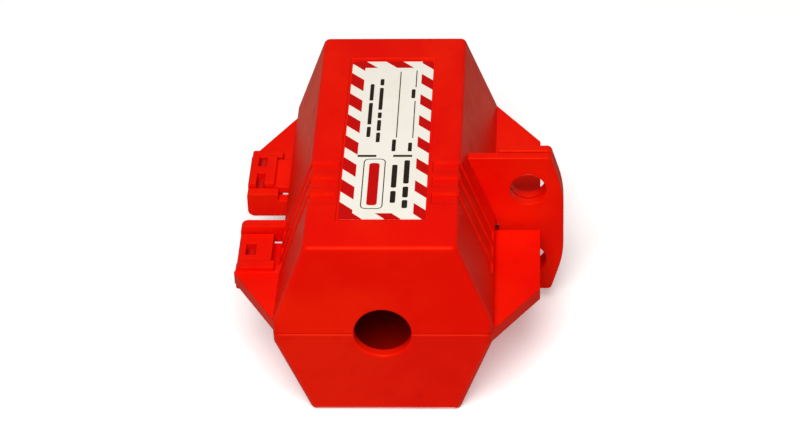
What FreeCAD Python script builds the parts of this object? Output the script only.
import FreeCAD, Part
import math
import os
from types import SimpleNamespace
import Sketcher

# Plug lockout box: a hinged clamshell that closes round the plug of a power
# cord.  Two identical moulded halves, each half the other turned over end for
# end, meet on the parting plane z = 0.  X runs along the cord, the hinge is
# on the +Y side, the hasp tabs are on the -Y side, +Z is up.  The origin is
# the middle of the closed box.  Sizes are in millimetres, and those of a half
# are given for the upper one.

doc = FreeCAD.newDocument("plug_lockout")

SIZES = [
    # hexagonal box, one half
    ("half_length", 44.5),      # at the parting plane
    ("crown_half_length", 43.0),  # at the flat outer face: the ends are drafted
    ("half_width", 24.9),       # at the parting plane
    ("crown_half_width", 17.2),  # at the flat outer face
    ("half_height", 23.5),      # parting plane to flat outer face
    ("rim_band", 2.7),          # upright band before the slopes start
    ("wall", 2.3),
    ("parting_chamfer", 0.3),   # relief that makes the parting line
    ("end_corner_radius", 1.6),
    ("crown_edge_radius", 1.2),
    ("inside_radius", 1.2),
    # cord holes
    ("cord_radius", 6.5),
    ("cord_rim_radius", 0.5),
    # grip channels across the crown and both slopes
    ("channel_depth", 0.45),
    ("channel_slope_factor", 1.0656),  # Y shift on the slopes, per depth
    ("channel_floor_z", 3.2),
    ("channel_one_start", -26.3),
    ("channel_two_start", -20.1),
    ("channel_three_start", -14.0),
    ("channel_width", 4.0),
    ("channel_inner_y", 10.9),
    # side flanges
    ("flange_thick", 3.0),
    ("flange_reach", 35.6),
    ("flange_corner", 27.4),
    ("flange_end", 42.8),
    ("flange_notch", 4.8),
    ("flange_sink", 0.8),       # how far the flanges run into the wall
    ("flange_sink_step", 0.5),  # how far the sunk corner stands in from the end
    # hasp tab
    ("tab_thick", 2.4),
    ("tab_half_gap", 0.3),
    ("tab_top", 19.3),
    ("tab_reach", 41.1),
    ("tab_shoulder", 9.2),
    ("tab_tip_y", 38.1),
    ("tab_free_y", 25.7),
    ("tab_sink", 0.9),          # how far the tab runs into the wall
    ("tab_shoulder_radius", 28.0),
    ("tab_tip_radius", 1.2),
    ("soft_edge", 0.35),
    ("lock_hole_radius", 4.25),
    ("lock_hole_y", 32.7),
    ("lock_hole_z", 10.2),
    ("lock_hole_margin", 2.0),
    # hinge
    ("rear_flange_reach", 35.2),
    ("rear_flange_corner", 25.4),
    ("rear_flange_overlap", 0.4),  # with the outer ear
    ("hinge_y", 32.0),
    ("hinge_outer", 25.2),
    ("hinge_inner", 6.8),
    ("ear_width", 2.7),
    ("knuckle_inner_gap", 0.6),
    ("knuckle_outer_gap", 0.9),
    ("ear_height", 4.4),        # above the parting plane
    ("ear_depth", 1.9),         # below it
    ("ear_reach", 35.0),
    ("ear_root_y", 23.4),
    ("ear_heel_y", 27.5),
    ("ear_upper_radius", 1.7),
    ("ear_lower_radius", 0.6),
    ("knuckle_top", 3.0),
    ("knuckle_bottom", 2.8),
    ("knuckle_reach", 35.0),
    ("knuckle_step_y", 28.6),
    ("knuckle_heel_y", 27.0),
    ("knuckle_radius", 0.9),
    ("web_thick", 1.8),
    ("pin_radius", 1.25),
    ("pin_running_clearance", 0.05),
    ("pin_end_float", 0.1),
    ("pin_end_chamfer", 0.35),
    ("socket_depth", 1.1),      # blind socket for each end of the pin
    ("slot_width", 2.0),        # two slots on one side of the knuckle ...
    ("bridge_start", 14.3),
    ("bridge_length", 2.9),     # ... with a bridge between them
    ("window_start", 13.9),     # and one window on its other side
    ("window_length", 4.3),
    ("window_half_width", 1.2),
    # labels
    ("recess_depth", 0.3),
    ("recess_half_length", 33.2),
    ("recess_half_width", 10.4),
    ("recess_shift", 0.5),
    ("label_half_length", 32.1),
    ("label_half_width", 9.8),
    ("upper_label_shift", 0.05),
    ("lower_label_shift", 0.8),
    ("label_thick", 0.2),
    ("label_corner", 0.9),
    # how far cuts run on past the material
    ("cut_margin", 1.0),
    ("long_cut_margin", 5.0),   # past the ends and sides of the box
    ("bore_margin", 0.2),       # past the ends of the knuckle
]


# ---- sizes that carry their sheet expression ----

def text_of(number):
    return number.text if isinstance(number, Size) else repr(number)


class Size(float):
    """A number that remembers the sheet expression it came from.

    Sums and products keep the expression when their left side is a Size;
    a plain number may stand on the left only in a product.
    """

    def __new__(cls, value, text):
        size_ = super().__new__(cls, value)
        size_.text = text
        return size_

    def __add__(self, other):
        return Size(float(self) + float(other), "(%s + %s)" % (self.text, text_of(other)))

    def __sub__(self, other):
        return Size(float(self) - float(other), "(%s - %s)" % (self.text, text_of(other)))

    def __mul__(self, other):
        return Size(float(self) * float(other), "(%s * %s)" % (self.text, text_of(other)))

    def __rmul__(self, other):
        return Size(float(other) * float(self), "(%s * %s)" % (text_of(other), self.text))

    def __truediv__(self, other):
        return Size(float(self) / float(other), "(%s / %s)" % (self.text, text_of(other)))

    def __neg__(self):
        return Size(-float(self), "(-%s)" % self.text)


sheet = doc.addObject("Spreadsheet::Sheet", "Sizes")
sheet.Label = "Sizes"
size = SimpleNamespace()
for row, (name, value) in enumerate(SIZES, start=1):
    sheet.set("A%d" % row, name)
    sheet.set("B%d" % row, repr(value))
    sheet.setAlias("B%d" % row, name)
    setattr(size, name, Size(value, "Sizes." + name))
doc.recompute()

# How far a side wall leans in for each millimetre of height.
LEAN = (size.half_width - size.crown_half_width) / (size.half_height - size.rim_band)

# The knuckle stands between the other half's ears, in x.
KNUCKLE_START = size.hinge_inner + size.ear_width + size.knuckle_inner_gap
KNUCKLE_END = size.hinge_outer - size.ear_width - size.knuckle_outer_gap

# The bottoms of the two blind sockets in the ears, in x.
SOCKET_START = -size.hinge_outer + size.ear_width - size.socket_depth
SOCKET_END = -size.hinge_inner - size.ear_width + size.socket_depth


def slope_y(z):
    """Half-width of the outside of the box at a height above the rim band."""
    return size.half_width - (z - size.rim_band) * LEAN


# ---- document helpers ----

volume_of = {}  # present volume of each body, by name


def drive(feature, prop, length):
    """Set a property and bind it to the sheet."""
    setattr(feature, prop, float(length))
    feature.setExpression(prop, length.text)


def new_body(label):
    body = doc.addObject("PartDesign::Body", label)
    body.Label = label
    return body


def new_sketch(body, name, role, offset=None):
    """Sketch on an origin plane, or parallel to it at an offset."""
    sketch = body.newObject("Sketcher::SketchObject", body.Label + "_" + name)
    plane = next(item for item in body.Origin.OriginFeatures if item.Role == role)
    sketch.AttachmentSupport = [(plane, "")]
    sketch.MapMode = "FlatFace"
    if offset is not None:
        sketch.AttachmentOffset = FreeCAD.Placement(
            FreeCAD.Vector(0, 0, float(offset)), FreeCAD.Rotation())
        sketch.setExpression("AttachmentOffset.Base.z", offset.text)
    return sketch


def hold_point(sketch, geo, end, x, y):
    """Hold one vertex at a place; a zero coordinate is held on the axis."""
    for kind, axis, place in (("DistanceX", -2, x), ("DistanceY", -1, y)):
        if abs(place) < 1e-9:
            sketch.addConstraint(Sketcher.Constraint("PointOnObject", geo, end, axis))
        elif place > 0:
            index = sketch.addConstraint(
                Sketcher.Constraint(kind, -1, 1, geo, end, float(place)))
            sketch.setExpression("Constraints[%d]" % index, place.text)
        else:
            # distances are positive, so the two points change places
            index = sketch.addConstraint(
                Sketcher.Constraint(kind, geo, end, -1, 1, -float(place)))
            sketch.setExpression("Constraints[%d]" % index, (-place).text)


def polygon(sketch, points):
    """Closed outline through (x, y) points."""
    first = sketch.GeometryCount
    corners = [FreeCAD.Vector(float(x), float(y), 0) for x, y in points]
    count = len(corners)
    for k in range(count):
        sketch.addGeometry(Part.LineSegment(corners[k], corners[(k + 1) % count]), False)
    for k in range(count):
        following = first + (k + 1) % count
        sketch.addConstraint(Sketcher.Constraint("Coincident", first + k, 2, following, 1))
    for k, (x, y) in enumerate(points):
        hold_point(sketch, first + k, 1, x, y)


def rectangle(sketch, x_low, x_high, y_low, y_high):
    polygon(sketch, [(x_low, y_low), (x_high, y_low), (x_high, y_high), (x_low, y_high)])


def circle(sketch, x, y, radius):
    geo = sketch.addGeometry(Part.Circle(
        FreeCAD.Vector(float(x), float(y), 0), FreeCAD.Vector(0, 0, 1), float(radius)), False)
    hold_point(sketch, geo, 3, x, y)
    index = sketch.addConstraint(Sketcher.Constraint("Radius", geo, float(radius)))
    sketch.setExpression("Constraints[%d]" % index, radius.text)


def confirm(body, feature, sign):
    """Recompute and make sure that material was really added or removed."""
    before = volume_of.get(body.Name, 0.0)
    doc.recompute()
    after = feature.Shape.Volume
    if (after - before) * sign <= 1e-4:
        raise RuntimeError("%s of %s changed nothing: %.3f -> %.3f"
                           % (feature.Name, body.Label, before, after))
    volume_of[body.Name] = after


def extrude(kind, sign, body, sketch, name, length, midplane, reverse):
    feature = body.newObject(kind, body.Label + "_" + name)
    feature.Profile = sketch
    drive(feature, "Length", length)
    feature.Midplane = midplane
    feature.Reversed = reverse
    confirm(body, feature, sign)


def pad(body, sketch, name, length, midplane=False):
    extrude("PartDesign::Pad", +1, body, sketch, name, length, midplane, False)


def pocket(body, sketch, name, length, midplane=False, reverse=False):
    """Cut against the sketch normal, or along it when reversed."""
    extrude("PartDesign::Pocket", -1, body, sketch, name, length, midplane, reverse)


def dress_edges(body, name, amount, keep, kind="Fillet"):
    """Round or chamfer the edges of the present tip that pass the test."""
    base = body.Tip
    names = ["Edge%d" % k for k, edge in enumerate(base.Shape.Edges, start=1) if keep(edge)]
    if not names:
        raise RuntimeError("no edges for " + name)
    feature = body.newObject("PartDesign::" + kind, body.Label + "_" + name)
    feature.Base = (base, names)
    drive(feature, "Radius" if kind == "Fillet" else "Size", amount)
    doc.recompute()
    if feature.Shape.isNull() or not feature.Shape.isValid():
        raise RuntimeError("%s of %s failed" % (name, body.Label))
    volume_of[body.Name] = feature.Shape.Volume


def ends(edge):
    return [vertex.Point for vertex in edge.Vertexes]


def close(a, b):
    return abs(a - b) < 0.02


def runs_along_x_at(edge, y, z):
    """True if every end of the edge has this y, and this z."""
    return all(close(v.y, y) and close(v.z, z) for v in ends(edge))


# ---- one half of the box, in the order it is built ----

def add_box(body):
    """Half of the hexagonal box, padded along the cord, with drafted ends."""
    sketch = new_sketch(body, "box_outline", "YZ_Plane")
    polygon(sketch, [(-size.half_width, 0),
                     (size.half_width, 0),
                     (size.half_width, size.rim_band),
                     (size.crown_half_width, size.half_height),
                     (-size.crown_half_width, size.half_height),
                     (-size.half_width, size.rim_band)])
    pad(body, sketch, "box", 2 * size.half_length, midplane=True)

    sketch = new_sketch(body, "end_draft_outline", "XZ_Plane")
    beyond = size.half_length + size.long_cut_margin
    above = size.half_height + size.cut_margin
    for side in (1, -1):
        polygon(sketch, [(side * size.half_length, 0),
                         (side * beyond, 0),
                         (side * beyond, above),
                         (side * size.crown_half_length, above),
                         (side * size.crown_half_length, size.half_height)])
    pocket(body, sketch, "end_draft", 2 * (size.half_width + size.long_cut_margin),
           midplane=True)


def hollow_box(body):
    """Open the box at the parting plane, one wall thickness all round."""
    base = body.Tip
    open_faces = ["Face%d" % k for k, face in enumerate(base.Shape.Faces, start=1)
                  if close(face.CenterOfMass.z, 0.0) and close(abs(face.normalAt(0, 0).z), 1.0)]
    hollow = body.newObject("PartDesign::Thickness", body.Label + "_hollow")
    hollow.Base = (base, open_faces)
    drive(hollow, "Value", size.wall)
    hollow.Mode = 0
    hollow.Join = 1
    hollow.Reversed = True
    confirm(body, hollow, -1)


def dress_box(body):
    """Round the corners of the box and relieve its rim."""
    def outer_corner(edge):
        # the end corners of the rim band and of the slopes, outside
        start, finish = ends(edge)
        if close(start.z, finish.z):
            return False
        for v in (start, finish):
            if abs(v.x) < size.crown_half_length - 0.1 or abs(v.y) < size.crown_half_width - 0.1:
                return False
            if size.rim_band + 0.1 < v.z < size.half_height - 0.1:
                return False
        return True
    dress_edges(body, "end_corners", size.end_corner_radius, outer_corner)

    def crown_edge(edge):
        return all(close(v.z, size.half_height) for v in ends(edge)) and \
            close(edge.CenterOfMass.z, size.half_height)
    dress_edges(body, "crown_edges", size.crown_edge_radius, crown_edge)

    def inside_edge(edge):
        # every edge of the cavity but the level ones at the rim band
        points = ends(edge)
        middle = edge.CenterOfMass
        if middle.z < 0.5 or len(points) < 2:
            return False
        if any(v.z > size.half_height - size.wall + 0.05 for v in points):
            return False
        level_and_low = close(points[0].z, points[1].z) and middle.z < size.rim_band + 1.0
        return abs(middle.x) < size.half_length - size.wall + 0.2 and \
            abs(middle.y) < size.half_width - size.wall + 0.05 and not level_and_low
    dress_edges(body, "inside_corners", size.inside_radius, inside_edge)

    def rim_edge(edge):
        middle = edge.CenterOfMass
        if not all(close(v.z, 0) for v in ends(edge)) or not close(middle.z, 0):
            return False
        return abs(middle.y) > size.half_width - 0.9 or abs(middle.x) > size.half_length - 0.9
    dress_edges(body, "parting_relief", size.parting_chamfer, rim_edge, kind="Chamfer")


def add_flanges(body):
    """Hinge-side flange at the -X end, hasp-side flange at the +X end."""
    sketch = new_sketch(body, "flange_outline", "XY_Plane")
    sunk_y = size.half_width - size.flange_sink
    sunk_end = size.flange_end - size.flange_sink_step
    rear_start = -size.hinge_outer + size.rear_flange_overlap
    polygon(sketch, [(rear_start, sunk_y),
                     (rear_start, size.rear_flange_reach),
                     (-size.rear_flange_corner, size.rear_flange_reach),
                     (-size.flange_end, size.half_width),
                     (-sunk_end, sunk_y)])
    polygon(sketch, [(size.flange_notch, -sunk_y),
                     (size.flange_notch, -size.flange_reach),
                     (size.flange_corner, -size.flange_reach),
                     (size.flange_end, -size.half_width),
                     (sunk_end, -sunk_y)])
    pad(body, sketch, "flanges", size.flange_thick)


def add_hinge(body):
    """Two ears at the -X hinge and, at the +X hinge, one knuckle."""
    for word, start in (("outer", -size.hinge_outer),
                        ("inner", -size.hinge_inner - size.ear_width)):
        sketch = new_sketch(body, word + "_ear_outline", "YZ_Plane", start)
        polygon(sketch, [(size.ear_root_y, 0),
                         (size.ear_heel_y, 0),
                         (size.ear_heel_y, -size.ear_depth),
                         (size.ear_reach, -size.ear_depth),
                         (size.ear_reach, size.ear_height),
                         (size.ear_root_y, size.ear_height)])
        pad(body, sketch, word + "_ear", size.ear_width)

    # the knuckle is a block on a thinner web
    sketch = new_sketch(body, "knuckle_outline", "YZ_Plane", KNUCKLE_START)
    polygon(sketch, [(size.ear_root_y, 0),
                     (size.ear_root_y, size.web_thick),
                     (size.knuckle_step_y, size.web_thick),
                     (size.knuckle_step_y, size.knuckle_top),
                     (size.knuckle_reach, size.knuckle_top),
                     (size.knuckle_reach, -size.knuckle_bottom),
                     (size.knuckle_heel_y, -size.knuckle_bottom),
                     (size.knuckle_heel_y, 0)])
    pad(body, sketch, "knuckle", KNUCKLE_END - KNUCKLE_START)

    def hinge_edge(y, z, negative_x):
        def test(edge):
            return len(ends(edge)) == 2 and (edge.CenterOfMass.x < 0) == negative_x and \
                runs_along_x_at(edge, y, z)
        return test
    dress_edges(body, "ear_upper_corners", size.ear_upper_radius,
                hinge_edge(size.ear_reach, size.ear_height, True))
    dress_edges(body, "ear_lower_corners", size.ear_lower_radius,
                hinge_edge(size.ear_reach, -size.ear_depth, True))
    dress_edges(body, "knuckle_upper_corner", size.knuckle_radius,
                hinge_edge(size.knuckle_reach, size.knuckle_top, False))
    dress_edges(body, "knuckle_lower_corner", size.knuckle_radius,
                hinge_edge(size.knuckle_reach, -size.knuckle_bottom, False))


def bore_hinge(body):
    # the two ears hold the ends of the pin in blind sockets, with running clearance
    sketch = new_sketch(body, "socket_outline", "YZ_Plane", SOCKET_START)
    circle(sketch, size.hinge_y, 0, size.pin_radius + size.pin_running_clearance)
    pocket(body, sketch, "sockets", SOCKET_END - SOCKET_START, reverse=True)

    # the knuckle grips the other pin along its whole length
    bore_start = KNUCKLE_START - size.bore_margin
    bore_end = KNUCKLE_END + size.bore_margin
    sketch = new_sketch(body, "knuckle_bore_outline", "YZ_Plane", bore_start)
    circle(sketch, size.hinge_y, 0, size.pin_radius)
    pocket(body, sketch, "knuckle_bore", bore_end - bore_start, reverse=True)

    # the bore is cored from both sides: two slots with a bridge between them above,
    # and one window below, opposite the bridge
    sketch = new_sketch(body, "slots_outline", "XY_Plane")
    for start, end in ((bore_start, size.bridge_start),
                       (size.bridge_start + size.bridge_length, bore_end)):
        rectangle(sketch, start, end,
                  size.hinge_y - size.slot_width / 2, size.hinge_y + size.slot_width / 2)
    pocket(body, sketch, "slots", size.knuckle_top + size.cut_margin, reverse=True)

    sketch = new_sketch(body, "window_outline", "XY_Plane",
                        -size.knuckle_bottom - size.cut_margin)
    rectangle(sketch, size.window_start, size.window_start + size.window_length,
              size.hinge_y - size.window_half_width, size.hinge_y + size.window_half_width)
    pocket(body, sketch, "window", size.knuckle_bottom + size.cut_margin, reverse=True)


def add_tab(body):
    """Hasp tab: stands on the slope above the parting plane, hangs free below it."""
    tab_start = -size.tab_half_gap - size.tab_thick
    sketch = new_sketch(body, "tab_outline", "YZ_Plane", tab_start)
    polygon(sketch, [(-size.half_width + size.tab_sink, 0),
                     (-size.half_width + size.tab_sink, size.rim_band),
                     (-slope_y(size.tab_top) + size.tab_sink, size.tab_top),
                     (-size.tab_tip_y, size.tab_top),
                     (-size.tab_reach, size.tab_shoulder),
                     (-size.tab_reach, -size.tab_shoulder),
                     (-size.tab_tip_y, -size.tab_top),
                     (-size.tab_free_y, -size.tab_top),
                     (-size.tab_free_y, 0)])
    pad(body, sketch, "tab", size.tab_thick)

    def tab_corner(y, z):
        # edges across the tab's thickness, above and below the parting plane
        def test(edge):
            points = ends(edge)
            return len(points) == 2 and abs(points[0].x - points[1].x) > 1 and \
                all(close(v.y, y) and close(abs(v.z), z) for v in points)
        return test
    dress_edges(body, "tab_shoulders", size.tab_shoulder_radius,
                tab_corner(-size.tab_reach, size.tab_shoulder))
    dress_edges(body, "tab_tips", size.tab_tip_radius,
                tab_corner(-size.tab_tip_y, size.tab_top))

    def tab_side(edge):
        # the tab's outline on both of its faces, where it stands clear of the box
        middle = edge.CenterOfMass
        points = ends(edge)
        if len(points) != 2 or not close(points[0].x, points[1].x):
            return False
        if not (close(middle.x, tab_start) or close(middle.x, -size.tab_half_gap)):
            return False
        if any(v.y > -slope_y(max(abs(v.z), size.rim_band)) + 0.02 for v in points):
            return False
        return middle.y < -size.half_width - 0.1 or \
            (close(middle.z, size.tab_top) and middle.y < -19.0)
    dress_edges(body, "tab_sides", size.soft_edge, tab_side)

    # two padlock holes
    sketch = new_sketch(body, "lock_hole_outline", "YZ_Plane")
    for side in (1, -1):
        circle(sketch, -size.lock_hole_y, side * size.lock_hole_z, size.lock_hole_radius)
    pocket(body, sketch, "lock_holes", 2 * (size.tab_thick + size.lock_hole_margin),
           midplane=True)


def cut_cord_holes(body):
    """Half of the cord hole at both ends, with a rounded rim."""
    sketch = new_sketch(body, "cord_hole_outline", "YZ_Plane")
    circle(sketch, 0, 0, size.cord_radius)
    pocket(body, sketch, "cord_holes", 2 * (size.half_length + size.long_cut_margin),
           midplane=True)

    def cord_rim(edge):
        # the long arcs on the outer end faces
        middle = edge.CenterOfMass
        points = ends(edge)
        return abs(middle.x) > size.half_length - 0.6 and len(points) == 2 and \
            all(abs(math.hypot(v.y, v.z) - size.cord_radius) < 0.05 for v in points) and \
            edge.Length > 10 and middle.z > 0.5
    dress_edges(body, "cord_rims", size.cord_rim_radius, cord_rim)


def cut_channels(body):
    """Three grip channels over each slope and on to the crown."""
    crown_floor = size.half_height - size.channel_depth
    above = size.half_height + size.cut_margin
    beyond = size.half_width + size.cut_margin
    slope_depth = size.channel_slope_factor * size.channel_depth
    starts = (size.channel_one_start, size.channel_two_start, size.channel_three_start)
    for k, start in enumerate(starts, start=1):
        sketch = new_sketch(body, "channel_%d_outline" % k, "YZ_Plane", start)
        for side in (1, -1):
            polygon(sketch, [
                (side * size.channel_inner_y, crown_floor),
                (side * size.channel_inner_y, above),
                (side * beyond, above),
                (side * beyond, size.channel_floor_z),
                (side * (slope_y(size.channel_floor_z) - slope_depth), size.channel_floor_z),
                (side * (slope_y(crown_floor) - slope_depth), crown_floor)])
        pocket(body, sketch, "channel_%d" % k, size.channel_width, reverse=True)


def cut_recess(body):
    """Shallow recess in the crown that takes the label."""
    sketch = new_sketch(body, "recess_outline", "XY_Plane", size.half_height)
    rectangle(sketch, size.recess_shift - size.recess_half_length,
              size.recess_shift + size.recess_half_length,
              -size.recess_half_width, size.recess_half_width)
    pocket(body, sketch, "recess", size.recess_depth)


def build_shell(label):
    body = new_body(label)
    for step in (add_box, hollow_box, dress_box, add_flanges, add_hinge, bore_hinge,
                 add_tab, cut_cord_holes, cut_channels, cut_recess):
        step(body)
    return body


# ---- pins and labels ----

def build_pin(label):
    """Hinge pin at the -X hinge, with a little float at each end."""
    body = new_body(label)
    sketch = new_sketch(body, "outline", "YZ_Plane", SOCKET_START + size.pin_end_float)
    circle(sketch, size.hinge_y, 0, size.pin_radius)
    pad(body, sketch, "rod", SOCKET_END - SOCKET_START - 2 * size.pin_end_float)
    # the end circles are the edges with a single vertex
    dress_edges(body, "ends", size.pin_end_chamfer,
                lambda edge: len(ends(edge)) == 1, kind="Chamfer")
    return body


def build_label(label, shift):
    """Film on the floor of the recess."""
    body = new_body(label)
    sketch = new_sketch(body, "outline", "XY_Plane", size.half_height - size.recess_depth)
    rectangle(sketch, shift - size.label_half_length, shift + size.label_half_length,
              -size.label_half_width, size.label_half_width)
    pad(body, sketch, "film", size.label_thick)

    def upright(edge):
        points = ends(edge)
        return len(points) == 2 and abs(points[0].z - points[1].z) > 0.5 * size.label_thick
    dress_edges(body, "corners", size.label_corner, upright)
    return body


upper_shell = build_shell("upper_shell")
lower_shell = build_shell("lower_shell")
left_pin = build_pin("left_hinge_pin")
right_pin = build_pin("right_hinge_pin")
upper_label = build_label("upper_label", size.upper_label_shift)
lower_label = build_label("lower_label", size.lower_label_shift)

# the lower half, its pin and its label are turned over end for end
turned = FreeCAD.Placement(FreeCAD.Vector(0, 0, 0),
                           FreeCAD.Rotation(FreeCAD.Vector(0, 1, 0), 180))
for body in (lower_shell, right_pin, lower_label):
    body.Placement = turned
doc.recompute()

# ---- check and export ----

pieces = (upper_shell, lower_shell, left_pin, right_pin, upper_label, lower_label)
problems = []
for item in doc.Objects:
    if "Invalid" in item.State or "Error" in item.State:
        problems.append("%s: %s" % (item.Name, item.State))
for piece in pieces:
    if piece.Shape.isNull() or not piece.Shape.isValid() or len(piece.Shape.Solids) != 1:
        problems.append("%s: shape is not one valid solid" % piece.Label)
if problems:
    raise RuntimeError("; ".join(problems))

os.makedirs("parts", exist_ok=True)
for piece in pieces:
    piece.Shape.exportStep("parts/%s.step" % piece.Label)
